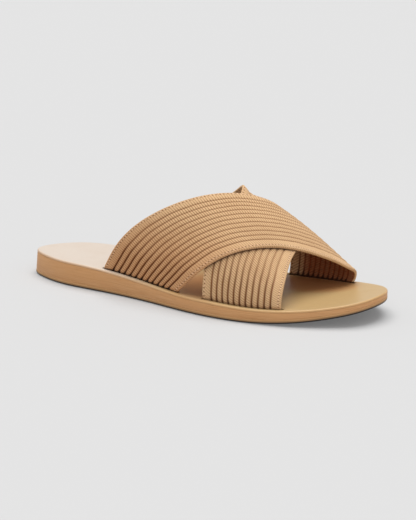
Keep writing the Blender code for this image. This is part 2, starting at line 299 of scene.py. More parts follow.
def smoothstep(start, end, value):
    """0 before start, 1 after end, and an easy S between them."""
    share = np.clip((np.asarray(value, float) - start) / (end - start), 0, 1)
    return share * share * (3 - 2 * share)


def spline(knots, values):
    """Smooth curve through a table's rows, with no bend at either end."""
    knots = np.asarray(knots, float)
    values = np.asarray(values, float)
    steps = np.diff(knots)
    slopes = np.diff(values) / steps
    matrix = np.eye(len(knots))
    right = np.zeros(len(knots))
    for i in range(1, len(knots) - 1):
        matrix[i, i - 1:i + 2] = steps[i - 1], 2 * (steps[i - 1] + steps[i]), steps[i]
        right[i] = 6 * (slopes[i] - slopes[i - 1])
    bend = np.linalg.solve(matrix, right)

    def at(place):
        place = np.asarray(place, float)
        row = np.clip(np.searchsorted(knots, place) - 1, 0, len(steps) - 1)
        reach = place - knots[row]
        lean = slopes[row] - steps[row] * (2 * bend[row] + bend[row + 1]) / 6
        curl = (bend[row + 1] - bend[row]) / (6 * steps[row])
        return values[row] + reach * (lean + reach * (bend[row] / 2 + reach * curl))

    return at


print("the outline's table has", len(OUTLINE), "stations and two tips")

# %% [markdown]
# ### Round the sole
#
# The spline runs once round the sole through both sides of the table. A few rows are
# repeated past the join, so that the loop closes without a corner. Every layer lies a
# little inside or outside this outline, so two helpers move a loop and space its points.

# %% Draw the outline
OUTLINE_POINTS = 1600


def sole_outline():
    """Closed outline of the sole, from the heel along the little toe's side and back."""
    outer = [(s * SHOE_LENGTH, -side * BALL_WIDTH) for s, side, _ in OUTLINE]
    inner = [(s * SHOE_LENGTH, side * BALL_WIDTH) for s, _, side in reversed(OUTLINE)]
    ring = [(0.0, HEEL_POINT * BALL_WIDTH)] + outer
    ring += [(SHOE_LENGTH, TOE_POINT * BALL_WIDTH)] + inner
    lead = len(OUTLINE) // 2
    points = np.array(ring[-lead:] + ring + ring[:lead + 1])
    way = np.concatenate([[0], np.cumsum(np.sqrt(np.hypot(*np.diff(points, axis=0).T)))])
    places = np.linspace(way[lead], way[lead + len(ring)], OUTLINE_POINTS)
    return np.stack([spline(way, points[:, k])(places) for k in (0, 1)], axis=1)[:-1]


def moved_in(loop, distance):
    """A counter-clockwise loop moved inwards by a distance."""
    along = np.roll(loop, -1, axis=0) - np.roll(loop, 1, axis=0)
    along /= np.linalg.norm(along, axis=1, keepdims=True)
    return loop + np.asarray(distance)[..., None] * np.stack([-along[:, 1], along[:, 0]], axis=1)


def evenly(loop, count):
    """A closed loop again, with points an equal way apart."""
    closed = np.concatenate([loop, loop[:1]])
    way = np.concatenate([[0], np.cumsum(np.hypot(*np.diff(closed, axis=0).T))])
    places = np.linspace(0, way[-1], count + 1)[:-1]
    return np.stack([np.interp(places, way, closed[:, k]) for k in (0, 1)], axis=1)


OUTLINE_LOOP = sole_outline()
print("outline is", (np.ptp(OUTLINE_LOOP, axis=0) / MM).round(1), "mm long and wide")

# %% [markdown]
# ## Heights along the sole
#
# The footbed slopes gently from the heel to the ball, and the toe springs up off the
# ground. Both are functions of the place along the shoe, so that layers, slits and straps
# all meet on the same surface.

# %% Heights of the ground side and of the footbed
HEEL_THICKNESS = 16.7 * MM
BALL_THICKNESS = 10.5 * MM
TOE_THICKNESS = 6.9 * MM
TOE_SPRING = 10.8 * MM
OUTSOLE_THICKNESS = 3.0 * MM
INSOLE_THICKNESS = 1.5 * MM
# shares of the length
SPRING_START = 0.68                      # the toe begins to leave the ground
HEEL_END = 0.16                          # the heel's full thickness ends
BALL_START = 0.56                        # the ball's thickness is reached
THINNING_START = 0.60                    # the sole begins to thin towards the toe


def underside(x):
    """Height of the sole's underside above the ground."""
    past = (np.asarray(x) / SHOE_LENGTH - SPRING_START) / (1 - SPRING_START)
    return TOE_SPRING * np.clip(past, 0, None) ** 2


def footbed(x):
    """Height of the footbed above the ground."""
    share = np.asarray(x) / SHOE_LENGTH
    to_ball = smoothstep(HEEL_END, BALL_START, share)
    to_toe = np.clip((share - THINNING_START) / (1 - THINNING_START), 0, 1)
    thickness = HEEL_THICKNESS + (BALL_THICKNESS - HEEL_THICKNESS) * to_ball
    return underside(x) + thickness + (TOE_THICKNESS - BALL_THICKNESS) * to_toe


def insole_bottom(x):
    return footbed(x) - INSOLE_THICKNESS


def outsole_top(x):
    return underside(x) + OUTSOLE_THICKNESS


print("footbed is", round(float(footbed(0)) / MM, 1), "mm up at the heel and",
      round(float(footbed(SHOE_LENGTH)) / MM, 1), "mm at the toe's tip")

# %% [markdown]
# ## Turning numbers into pieces
#
# Every piece goes the same way into Blender: points and faces, smooth shading with sharp
# edges only where the surface really turns, a finish, and its place in the frame. It rides
# on the shoe's one body and stands for the solid that it dresses.

# %% Helpers of a mesh
SHARP_ANGLE = 40                         # degrees


def add_numbers(mesh, numbers):
    """Store a number or a place on every point, for the finish to read."""
    for name, values in numbers.items():
        kind = "FLOAT" if values.ndim == 1 else "FLOAT_VECTOR"
        field = "value" if values.ndim == 1 else "vector"
        made = mesh.attributes.new(name, kind, "POINT")
        made.data.foreach_set(field, np.ascontiguousarray(values, np.float32).ravel())


def smooth_shading(mesh, sharp):
    """Smooth faces, with hard edges only where they turn by more than so many degrees."""
    mesh.shade_smooth()
    mesh.set_sharp_from_angle(angle=math.radians(sharp))


def bridge(rows, count):
    """Quads between closed rows of points that follow each other."""
    faces = []
    for row in range(rows - 1):
        first = row * count
        for i in range(count):
            j = (i + 1) % count
            faces.append((first + i, first + j, first + count + j, first + count + i))
    return faces


print("edges stay hard where faces turn by more than", SHARP_ANGLE, "degrees")

# %% [markdown]
# ### From numbers to an object
#
# The points come in the shoe's own frame, which begins at the heel's end, so they are
# moved to the row's origin first. A piece with a slot rides on the shoe's one body, and a
# piece with a node stands for that solid. A block that only cuts has neither.

# %% Make a piece
def new_piece(name, verts, faces, numbers, finish, node=None, slot=None, sharp=SHARP_ANGLE):
    """A smooth mesh object in the row's frame, with its finish, riding on the shoe's body and hiding the
    solid that it stands for.
    """
    mesh = bpy.data.meshes.new(name)
    place = np.array(verts, float) - np.array([*MIDDLE, 0.0])
    mesh.from_pydata(place.tolist(), [], faces)
    mesh.update()
    add_numbers(mesh, numbers)
    shell = bmesh.new()
    shell.from_mesh(mesh)
    bmesh.ops.recalc_face_normals(shell, faces=shell.faces)
    shell.to_mesh(mesh)
    shell.free()
    smooth_shading(mesh, sharp)
    piece = bpy.data.objects.new(name, mesh)
    bpy.context.scene.collection.objects.link(piece)
    if finish is not None:
        mesh.materials.append(finish)
    if slot is not None:
        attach(piece, "root")
    if node is not None:
        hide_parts(node)
    return piece


# %% [markdown]
# ### Layers of the sole
#
# Outsole, midsole and insole are three layers with one outline. Each could be an extruded
# curve with a bevel, but then its faces wouldn't follow the slope of the footbed. So a
# layer is drawn as rows of points down its side, and its top and bottom are closed by
# rings that draw in to a spine along the middle, each laid on its own surface.

# %% Close a face
RIM_POINTS = 420
RINGS = 14
SPINE_ENDS = (0.10, 0.90)                # the spine keeps this far from heel and toe


def sides(loop):
    """Side distances of a loop as functions of x: little toe's side, big toe's side."""
    turned = np.roll(loop, -int(np.argmin(loop[:, 0])), axis=0)
    tip = int(np.argmax(turned[:, 0]))
    halves = []
    for part in (turned[:tip + 1], np.concatenate([turned[tip:], turned[:1]])):
        part = part[np.argsort(part[:, 0])]
        halves.append(lambda x, part=part: np.interp(x, part[:, 0], part[:, 1]))
    return halves


def close_face(verts, first, surface):
    """Rings that draw in from a rim to a spine along the middle of the sole."""
    ring = np.array(verts[first:first + RIM_POINTS])[:, :2]
    tip = int(np.argmax(ring[:, 0]))
    low, high = ring[0], ring[tip]
    share = np.clip((ring[:, 0] - low[0]) / (high[0] - low[0]), *SPINE_ENDS)
    x = low[0] + (high[0] - low[0]) * share
    outer, inner = sides(ring)
    spine = np.column_stack([x, (outer(x) + inner(x)) / 2])
    faces = []
    before = first
    for step in range(1, RINGS + 1):
        inward = ring + (spine - ring) * step / (RINGS + 1)
        start = len(verts)
        verts += list(np.column_stack([inward, surface(inward[:, 0])]))
        for i in range(RIM_POINTS):
            j = (i + 1) % RIM_POINTS
            faces.append((before + i, before + j, start + j, start + i))
        before = start
    for i in range(RIM_POINTS // 2):
        across = (i, i + 1, RIM_POINTS - i - 1, (RIM_POINTS - i) % RIM_POINTS)
        faces.append(tuple(before + k for k in dict.fromkeys(across)))
    return faces


print("each layer's rim has", RIM_POINTS, "points, and each face", RINGS, "rings")

# %% [markdown]
# ### The side of a layer
#
# The side is a profile: rows from the upper edge down to the lower one. A row says how far
# it lies inside the outline, how much of the heel's flare it takes, which surface it
# follows and how much of the edge's tone it has; on the outsole's lower round that tone is
# painted contact shade. A rounded edge is a quarter circle in such rows, which is a bevel
# that follows the slope of the sole.

# %% Build a layer
FLARE_END = 0.22                         # share of the length where the heel's flare has died out


def layer(profile, ground):
    """Points, faces and numbers of a layer. Its profile runs down its side, each row an inset,
    the share of the heel's flare, the surface it lies on and how much it takes of the edge's
    tone, which on the outsole's lower round is painted contact shade."""
    rim = evenly(OUTLINE_LOOP, RIM_POINTS)
    flare = ground * (1 - smoothstep(0, FLARE_END, rim[:, 0] / SHOE_LENGTH))
    verts = []
    for inset, flared, surface, _ in profile:
        ring = moved_in(rim, inset - flared * flare)
        verts += list(np.column_stack([ring, surface(ring[:, 0])]))
    faces = bridge(len(profile), RIM_POINTS)
    trim = np.repeat([row[3] for row in profile], RIM_POINTS)
    for row in (0, len(profile) - 1):
        faces += close_face(verts, row * RIM_POINTS, profile[row][2])
        trim = np.concatenate([trim, np.full(RINGS * RIM_POINTS, round(profile[row][3]))])
    return verts, faces, {"trim": trim}


def rounded(radius, surface, flared, upwards, steps, trims_and_shade=(0.0, 0.0)):
    """Profile rows of an edge rounded by a quarter circle, from its upper end down."""
    rows = []
    for angle in np.linspace(0, math.pi / 2, steps):
        sine, cosine = math.sin(angle), math.cos(angle)
        inwards = radius * (1 - (sine if upwards else cosine))
        rise = -radius * (1 - cosine) if upwards else radius * (1 - sine)
        trim = trims_and_shade[0] + (trims_and_shade[1] - trims_and_shade[0]) * angle / (math.pi / 2)
        rows.append((inwards, flared, lambda x, rise=rise: surface(x) + rise, trim))
    return rows


print("a layer's flare ends", round(FLARE_END * SHOE_LENGTH / MM), "mm from the heel's end")

# %% [markdown]
# ## Finish of the sole's edge
#
# The side of the sole is trimmed with a knife and burnished, which leaves long fine
# streaks along it. A painted picture of streaks would have to be wrapped round the sole.
# A noise that is stretched along the shoe needs no wrapping, and it goes right round.

# %% Finish of the sole's edge
STREAK_GRAIN = (55, 55, 2600)            # long along the edge and fine in height
FINE_GRAIN = (160, 160, 5200)
PATCH_SCALE = 70
EDGE_RELIEF = 0.10 * MM


def edge_finish(name, tones, contact_shade, roughness, coat):
    """Trimmed and burnished sole edge: long fine streaks along it, a faint mottling, and painted contact
    shade where trim asks for it.
    """
    finish = Finish(name)
    base, dark, light = tones
    place = finish.place()
    streaks = finish.noise(finish.scaled(place, STREAK_GRAIN), 1.0, 3.0, 0.6)
    fine = finish.noise(finish.scaled(place, FINE_GRAIN), 1.0, 2.0, 0.6)
    patches = finish.noise(place, PATCH_SCALE, 3.0, 0.55)
    colour = finish.mix(finish.ramp(streaks, 0.32, 0.68), dark, light)
    colour = finish.mix(finish.ramp(patches, 0.35, 0.65, 0.15, 0.75), colour, base)
    # painted contact shade, where the layer's trim number says so
    colour = finish.mix(finish.attribute("trim"), colour, contact_shade)
    rough = finish.ramp(streaks, 0.2, 0.8, roughness - 0.06, roughness + 0.08)
    coarse = finish.math("MULTIPLY", streaks, 0.7)
    relief = finish.math("ADD", coarse, finish.math("MULTIPLY", fine, 0.5))
    finish.set(Base_Color=colour, Roughness=rough, Coat_Weight=coat, Coat_Roughness=0.35,
               Specular_IOR_Level=0.35, Normal=finish.bump(relief, EDGE_RELIEF))
    return finish.material


# base, dark streak, light streak
OUTSOLE_TONES = (screen(203, 154, 102), screen(190, 140, 87), screen(212, 164, 112))
MIDSOLE_TONES = (screen(204, 150, 98), screen(191, 136, 83), screen(212, 162, 112))
# painted contact shadow along the ground, on the outsole's lower round and underside
CONTACT_SHADE_TONE = screen(34, 26, 22)
outsole_rubber = edge_finish("outsole_rubber_edge", OUTSOLE_TONES, CONTACT_SHADE_TONE, 0.60, 0.04)
midsole_leather = edge_finish("midsole_leather_edge", MIDSOLE_TONES, MIDSOLE_TONES[0], 0.50, 0.06)
print("edge finishes:", outsole_rubber.name, "and", midsole_leather.name)

# %% [markdown]
# ## Outsole
#
# The outsole is the thin layer that meets the ground. From the side only its edge shows,
# as the lowest band, which turns under in a small round. That round and the underside are
# painted dark as the contact shadow along the ground. It is made from the outline alone:
# that rounded lower edge, a straight side, and a tiny round where it meets the next layer,
# which draws the fine seam line.

# %% Build the outsole
HEEL_FLARE = 1.2 * MM
MEETING_FLARE = 0.8                      # share of the flare where outsole and midsole meet
SEAM = 0.22 * MM
SEAM_STEPS = 3
SOLE_ROUND = 1.5 * MM
ROUND_STEPS = 7
CONTACT_SHADE_TRIMS = (0.5, 2.6)                 # how much painted contact shade the round takes on its way down
outsole_profile = rounded(SEAM, outsole_top, MEETING_FLARE, True, SEAM_STEPS)
outsole_profile += rounded(SOLE_ROUND, underside, 1.0, False, ROUND_STEPS, CONTACT_SHADE_TRIMS)
outsole = new_piece("outsole_edge", *layer(outsole_profile, HEEL_FLARE), outsole_rubber,
                    "outsole", "outsole")
print("outsole has", len(outsole.data.polygons), "faces")

# %% [markdown]
# ## Midsole
#
# Between outsole and insole lies a midsole of leather, thick at the heel and thin at the
# toe. Its side is the large tan band of the sole. It has the same outline and the same
# builder as the outsole, and one row of points halfway down its side, so that the side can
# lean out to the heel's flare.

# %% Build the midsole
SEAM_GAP = 0.03 * MM


def midsole_top(x):
    return insole_bottom(x) - SEAM_GAP


def midsole_middle(x):
    return (insole_bottom(x) + outsole_top(x)) / 2


def midsole_bottom(x):
    return outsole_top(x) + SEAM_GAP


midsole_profile = rounded(SEAM, midsole_top, 0.0, True, SEAM_STEPS)
midsole_profile += [(0.0, MEETING_FLARE / 2, midsole_middle, 0.0)]
midsole_profile += rounded(SEAM, midsole_bottom, MEETING_FLARE, False, SEAM_STEPS)
midsole = new_piece("midsole_edge", *layer(midsole_profile, HEEL_FLARE), midsole_leather,
                    "midsole", "midsole")
print("midsole has", len(midsole.data.polygons), "faces")

# %% [markdown]
# ## Finish of the insole
#
# The insole is the smooth leather that the foot stands on. It is paler at the heel and more
# tan under the toes: partly the leather's own tone, partly a painted reflection of the pale
# surround on the open heel. Under the straps it gets a warm reddish painted shade. One colour
# would look like plastic. So a change along the shoe is laid down first, then two soft spots
# of painted shade, then faint clouds, and last the lighter tone of the trimmed edge.

# %% Colour of the insole
insole_leather = Finish("insole_smooth_leather")
TAN_BEGINS = -75 * MM                    # from the middle of the shoe, ahead is positive
TAN_COMPLETE = 5 * MM
# heel tone: partly the leather's own, partly a painted reflection of the pale surround
HEEL_TONE_AND_REFLECTION = screen(206, 190, 176)
TOE_TONE = screen(188, 155, 107)
# painted reddish shade under the straps
STRAP_SHADE_TONE = screen(170, 92, 46)
CLOUD_TONE = screen(160, 116, 74)
EDGE_TONE = screen(208, 158, 104)
# spots of painted shade where the straps shade the insole
STRAP_SHADE_SPOTS = [
    # how far ahead, how far aside, reach along, reach across
    (0.020, -0.012, 0.045, 0.036),
    (0.066, 0.024, 0.042, 0.022),
]
STRAP_SHADE_STRENGTH = 0.50
CLOUD_SCALE = 45
CLOUD_STRENGTH = 0.09


def reach_squared(finish, value, middle, reach):
    """How far a value is from the middle, as a share of the reach, squared."""
    away = finish.math("ABSOLUTE", finish.math("SUBTRACT", value, middle))
    return finish.math("POWER", finish.math("DIVIDE", away, reach), 2.0)


place = insole_leather.place()
along, aside, _ = insole_leather.apart(place)
to_toe = insole_leather.ramp(along, TAN_BEGINS, TAN_COMPLETE)
skin = insole_leather.mix(to_toe, HEEL_TONE_AND_REFLECTION, TOE_TONE)
for ahead, sideways, reach_along, reach_across in STRAP_SHADE_SPOTS:
    far_along = reach_squared(insole_leather, along, ahead, reach_along)
    far_across = reach_squared(insole_leather, aside, sideways, reach_across)
    spread = insole_leather.math("ADD", far_along, far_across)
    painted_shade = insole_leather.ramp(spread, 0.2, 1.0, STRAP_SHADE_STRENGTH, 0.0)
    skin = insole_leather.mix(painted_shade, skin, STRAP_SHADE_TONE)
clouds = insole_leather.noise(place, CLOUD_SCALE, 4.0, 0.6)
cloudy = insole_leather.ramp(clouds, 0.35, 0.75, 0.0, CLOUD_STRENGTH)
skin = insole_leather.mix(cloudy, skin, CLOUD_TONE)
trim = insole_leather.attribute("trim")
skin = insole_leather.mix(trim, skin, EDGE_TONE)
print("insole has", len(STRAP_SHADE_SPOTS), "warm spots under the straps")

# %% [markdown]
# ### Grain and gloss of the insole
#
# Leather has pebbles and pores. They could be real bumps, but they are far smaller than a
# face of the mesh, so the grain is in the finish, as a very shallow relief.

# %% Grain and gloss of the insole
PEBBLE_SCALE = 900
PORE_SCALE = 1500
GRAIN_RELIEF = 0.05 * MM
pebbles = insole_leather.cells(place, PEBBLE_SCALE)
pores = insole_leather.noise(place, PORE_SCALE, 2.0)
grain = insole_leather.math("ADD", insole_leather.math("MULTIPLY", pebbles, 0.7),
                            insole_leather.math("MULTIPLY", pores, 0.5))
skin_roughness = insole_leather.math("ADD", insole_leather.ramp(clouds, 0.3, 0.8, 0.34, 0.42),
                                     insole_leather.math("MULTIPLY", trim, 0.15))
insole_leather.set(Base_Color=skin, Roughness=skin_roughness, Specular_IOR_Level=0.40,
                   Coat_Weight=0.06, Coat_Roughness=0.35,
                   Normal=insole_leather.bump(grain, GRAIN_RELIEF))
print("insole finish has", len(insole_leather.nodes), "nodes")

# %% [markdown]
# ## Insole
#
# The insole's upper edge is rounded, and that round catches the light as one bright line
# along the whole sole. It is the third layer with the same builder: a round above, a tiny
# round below, and a tone that turns from skin to trimmed edge on the way down.

# %% Build the insole
EDGE_ROUND = 1.1 * MM
SKIN_TRIMS = (0.0, 0.75)
EDGE_TRIMS = (0.75, 1.0)
insole_profile = rounded(EDGE_ROUND, footbed, 0.0, True, ROUND_STEPS, SKIN_TRIMS)
insole_profile += rounded(SEAM, insole_bottom, 0.0, False, SEAM_STEPS, EDGE_TRIMS)
insole = new_piece("insole_leather_sheet", *layer(insole_profile, 0.0), insole_leather.material,
                   "insole", "insole")
print("insole has", len(insole.data.polygons), "faces")

# %% [markdown]
# ## The instep that the straps lie on
#
# Both straps are bent over the same last, so both are drawn on one surface: an arch at
# each station, from the slit line on one side to the slit line on the other. The arch
# could be sculpted, but a strap is a flat ribbon that must stay even, and a surface in
# numbers keeps it so.

# %% Arch sections
SLIT_INSET = 3.2 * MM
CROWN_HEIGHT = 70 * MM
INSTEP = [
    # station, crown height as a share of the full height, crown shift as a share of the width
    (0.235, 1.070, 0.180),
    (0.412, 1.000, 0.235),
    (0.588, 0.800, 0.234),
    (0.765, 0.455, 0.140),
    (0.922, 0.000, 0.010),
]
OUTER_SQUARENESS = 2.30                  # 2 would be an ellipse
INNER_SQUARENESS = 2.05
OUTER_BULGE = 1.5 * MM
INNER_BULGE = 2.0 * MM
SHIFT_POWER = 1.5                        # keeps the crown's shift near the top
ARCH_STEPS = 300
FEET_OUTER, FEET_INNER = sides(moved_in(OUTLINE_LOOP, SLIT_INSET * np.ones(len(OUTLINE_LOOP))))
stations = [row[0] * SHOE_LENGTH for row in INSTEP]
CROWN = spline(stations, [row[1] * CROWN_HEIGHT for row in INSTEP])
CROWN_SHIFT = spline(stations, [row[2] * BALL_WIDTH for row in INSTEP])
GRID_ENDS = (0.21, 0.90)                 # stations of its first and last section
GRID_SECTIONS = 420
GRID_STEPS = 401                         # places on each section
GRID_X = np.linspace(*GRID_ENDS, GRID_SECTIONS) * SHOE_LENGTH
GRID_WAY = np.linspace(0, 1, GRID_STEPS)


def arch(x):
    """One section of the instep at x, at even shares of the way over it."""
    turn = np.linspace(0, math.pi, ARCH_STEPS)
    cosine, sine = np.cos(turn), np.clip(np.sin(turn), 0, 1)
    over = smoothstep(0, 1, (1 - cosine) / 2)
    power = (1 - over) * 2 / OUTER_SQUARENESS + over * 2 / INNER_SQUARENESS
    bulge = (1 - over) * OUTER_BULGE + over * INNER_BULGE
    outer, inner = FEET_OUTER(x), FEET_INNER(x)
    side = (inner + outer) / 2 - np.sign(cosine) * np.abs(cosine) ** power * (inner - outer) / 2
    side = side + CROWN_SHIFT(x) * sine ** SHIFT_POWER - np.sin(2 * turn) * bulge
    height = CROWN(x) * sine ** power
    way = np.concatenate([[0], np.cumsum(np.hypot(np.diff(side), np.diff(height)))])
    even = GRID_WAY * way[-1]
    return np.column_stack([np.full(len(even), x), np.interp(even, way, side),
                            footbed(x) + np.interp(even, way, height)])


print("crown heights in mm:", [round(row[1] * CROWN_HEIGHT / MM, 1) for row in INSTEP])

# %% [markdown]
# ### The instep as a grid
#
# To work a section out again for every point of a strap would be slow. So the sections are
# worked out once, side by side, with the direction that points away from the foot at each
# place. Near the slits that direction is turned level, because the strap stands upright
# there. A place between the grid's points is blended from its four neighbours.

# %% The grid and its normals
UPRIGHT_REACH = 0.03                     # share of the way over, next to either slit
grid = np.array([arch(x) for x in GRID_X])
normals = np.cross(np.gradient(grid, axis=0), np.gradient(grid, axis=1))
normals[..., 2] *= smoothstep(0, UPRIGHT_REACH, GRID_WAY) * smoothstep(0, UPRIGHT_REACH, 1 - GRID_WAY)
normals /= np.linalg.norm(normals, axis=2, keepdims=True)
middle_row = len(GRID_WAY) // 2
if normals[len(GRID_X) // 2, middle_row, 2] < 0:
    normals = -normals


def read_grid(values, x, way):
    """Values of the grid between its points."""
    column = np.clip((x - GRID_X[0]) / (GRID_X[1] - GRID_X[0]), 0, len(GRID_X) - 1.001)
    row = np.clip(way * (len(GRID_WAY) - 1), 0, len(GRID_WAY) - 1.001)
    i, j = column.astype(int), row.astype(int)
    a, b = (column - i)[..., None], (row - j)[..., None]
    return ((1 - a) * ((1 - b) * values[i, j] + b * values[i, j + 1])
            + a * ((1 - b) * values[i + 1, j] + b * values[i + 1, j + 1]))


def on_instep(x, way, lift):
    """Points of the instep, lifted off it along its normal."""
    return read_grid(grid, x, way) + np.asarray(lift)[..., None] * read_grid(normals, x, way)


print("crown is", round(float(grid[..., 2].max()) / MM, 1), "mm above the ground")

# %% [markdown]
# ## Webbing
#
# Each strap is one piece of stretch webbing, with ten cords side by side and a flat band
# along either edge. The cords show on both faces, deeper on the outer one. The ribs could
# be a bump map, but they give the strap its outline and its shadows, so they are real
# geometry: one section across the strap, carried from slit to slit.

# %% Section of the webbing
STRAP_WIDTH = 54 * MM
WALL = 2.0 * MM
RIBS = 10
REAR_BAND = 0.125                        # shares of the strap's width
RIB_PITCH = 0.075
RIB_DEPTH = 1.05 * MM                    # of a groove on the outer face
INNER_DEPTH = 0.45 * MM                  # and on the inner face
RIB_ROUND = 2.0                          # 2 makes each cord a part of a circle
RIB_STEPS = 11
GATHER = 0.75                            # below 1, a cord's points gather at its grooves
REAR_ROWS = [(0.012, 0), (0.035, 0), (0.065, 0), (REAR_BAND - 0.016, 0.1), (REAR_BAND - 0.007, 0.45)]
FRONT_ROWS = [(0.0, 1), (0.007, 0.45), (0.016, 0.1), (0.040, 0)]
FRONT_EDGE_ROWS = [(0.955, 0), (0.988, 0)]
EDGE_TURNS = np.linspace(-0.35, 0.35, 5) * math.pi
EDGE_FLATNESS = 0.6
INNER_SHADE_STARTS = 0.51                     # painted shade that the finish reads on the inner face, by the rear edge
INNER_SHADE_GROWS = (0.10, 0.30)              # shares across, over which it rises to 1


def across_the_cords():
    """Shares across the strap and how deep each lies in a groove, from 0 to 1."""
    turns = np.linspace(-1, 1, RIB_STEPS)
    turns = np.sign(turns) * np.abs(turns) ** GATHER
    rows = list(REAR_ROWS)
    for rib in range(RIBS):
        middle = REAR_BAND + RIB_PITCH * (rib + 0.5)
        for turn in turns[:-1]:
            deep = 1 - (1 - abs(turn) ** RIB_ROUND) ** (1 / RIB_ROUND)
            rows.append((middle + turn * RIB_PITCH / 2, deep))
    end = REAR_BAND + RIB_PITCH * RIBS
    rows += [(end + ahead, deep) for ahead, deep in FRONT_ROWS]
    rows += FRONT_EDGE_ROWS
    return np.array(rows, float).T


def rounded_edge(turns, forwards):
    """Rows round one edge of the webbing."""
    radius = WALL / 2
    rows = []
    for angle in turns:
        inwards = (1 - math.cos(angle)) * radius / STRAP_WIDTH * EDGE_FLATNESS
        share = 1 - inwards if forwards else inwards
        rows.append((share, radius + radius * math.sin(angle), 0.0, 0.0))
    return rows


def webbing_section():
    """Once round the webbing: share across, depth below the face, groove, and painted shade of the inner
    face.
    """
    shares, depths = across_the_cords()
    rows = [(share, depth * RIB_DEPTH, depth, 0.0) for share, depth in zip(shares, depths)]
    rows += rounded_edge(EDGE_TURNS, True)
    for share, depth in zip(shares[::-1], depths[::-1]):
        inner_shade = INNER_SHADE_STARTS + (1 - INNER_SHADE_STARTS) * smoothstep(*INNER_SHADE_GROWS, share)
        rows.append((share, WALL - depth * INNER_DEPTH, depth, inner_shade))
    rows += rounded_edge(EDGE_TURNS[::-1], False)
    return np.array(rows, float)


SECTION = webbing_section()
print("the webbing's section has", len(SECTION), "points")

# %% [markdown]
# ## Straps
#
# A strap's two edges are tables too: how far over the arch, and the stations of its rear
# and front edge there. Where the straps cross, the upper one is lifted and the lower one
# lies closer to the foot, so that the two lie on each other without sharing space. Behind
# the crossing the lower strap's rear edge is free, and it stands up a little at the crown.

# %% Tables of both straps
UPPER_STRAP = [
    # way over from the little toe's side, rear edge, front edge
    (0.00, 0.257, 0.500),
    (0.18, 0.338, 0.620),
    (0.36, 0.471, 0.738),
    (0.52, 0.576, 0.805),
    (0.68, 0.644, 0.844),
    (0.84, 0.668, 0.868),
    (1.00, 0.671, 0.863),
]
LOWER_STRAP = [
    (0.00, 0.583, 0.795),
    (0.18, 0.577, 0.789),
    (0.36, 0.580, 0.774),
    (0.52, 0.580, 0.766),
    (0.68, 0.518, 0.744),
    (0.84, 0.368, 0.671),
    (1.00, 0.237, 0.553),
]
UPPER_LIFT = 1.38 * MM
LOWER_LIFT = -0.76 * MM
SETTLE = 0.13                            # share of the way over where a strap has reached its lift
CURL = 2.6 * MM                          # how high the lower strap's free rear edge stands up
CURL_SHARE = 0.17                        # share of the strap's width that rises with it
CURL_WAYS = (0.54, 0.605, 0.82)          # where that begins, is highest and ends on the way over
TUCK = 0.7 * MM                          # how far the strap bends in as it enters its slit
TUCK_REACH = 3.0 * MM
print("each strap's table has", len(UPPER_STRAP), "rows; the lower edge curls up", round(CURL / MM, 1), "mm")

# %% [markdown]
# ### One strap as numbers
#
# A strap has to answer a few questions: where is the point at this share across and this
# way over, how long is it up to there, and what does it cover. A small class keeps the
# answers together, so that the mesh, its stitches and its slits all agree.

# %% Points of a strap
LENGTH_STEPS = 600
STITCH_PITCH = 2.3 * MM


class Strap:
    """A strap's edges and lift, with its points found by share across and way over."""

    def __init__(self, table, lift, seed, warm_bounce, outer_shade, curl=0.0):
        ways = [row[0] for row in table]
        self.rear = spline(ways, [row[1] * SHOE_LENGTH for row in table])
        self.front = spline(ways, [row[2] * SHOE_LENGTH for row in table])
        self.lift = lift
        self.seed = seed
        self.warm_bounce = warm_bounce
        self.outer_shade = outer_shade
        self.curl = curl
        self.length_table = None
        ways = np.linspace(0, 1, LENGTH_STEPS)
        line = self.points(np.full(LENGTH_STEPS, 0.5), ways, np.zeros(LENGTH_STEPS))
        reach = np.linalg.norm(np.diff(line, axis=0), axis=1)
        self.way_table = ways
        self.length_table = np.concatenate([[0], np.cumsum(reach)])

    def station(self, share, way):
        """How far along the shoe."""
        return self.rear(way) + (self.front(way) - self.rear(way)) * share

    def covers(self, x, way):
        """Whether this strap lies over the instep at x, with half a stitch to spare."""
        return self.rear(way) - STITCH_PITCH / 2 < x < self.front(way) + STITCH_PITCH / 2

    def points(self, share, way, depth):
        """Points at a depth below the strap's outer face."""
        x = self.station(share, way)
        risen = self.lift * smoothstep(0, SETTLE, way) * smoothstep(0, SETTLE, 1 - way)
        start, top, end = CURL_WAYS
        up_here = smoothstep(start, top, way) * (1 - smoothstep(top, end, way))
        risen = risen + self.curl * up_here * (1 - smoothstep(0, CURL_SHARE, share))
        if self.length_table is not None:
            length = self.length_at(way)
            from_slit = np.minimum(length, self.length_table[-1] - length)
            risen = risen + TUCK * smoothstep(0, TUCK_REACH, from_slit)
        return on_instep(x, way, risen - depth)

    def length_at(self, way):
        return np.interp(way, self.way_table, self.length_table)

    def way_at(self, length):
        return np.interp(length, self.length_table, self.way_table)


print("a strap's length is measured in", LENGTH_STEPS, "steps")

# %% [markdown]
# ### Two straps
#
# Both straps are one kind of thing with different numbers. The upper one gets painted warm
# light bounced from the leather near its outer slit, and its painted shade there is deeper.
# The lower one has the free edge that stands up.

# %% Both straps as numbers
upper_strap = Strap(UPPER_STRAP, UPPER_LIFT, 3, warm_bounce=1.0, outer_shade=1.0)
lower_strap = Strap(LOWER_STRAP, LOWER_LIFT, 5, warm_bounce=0.0, outer_shade=0.5, curl=CURL)
print("straps are", (upper_strap.length_table[-1] / MM).round(), "and",
      (lower_strap.length_table[-1] / MM).round(), "mm long between their slits")

# %% [markdown]
# ### Rows of a strap
#
# The webbing's section is carried from slit to slit, row by row. The cords stand out most
# by the slits, where the webbing is drawn together, and flatten over the instep. A slow
# sway and a tiny wander keep them from looking like a machine's. At either end two more
# rows go down into the sole.

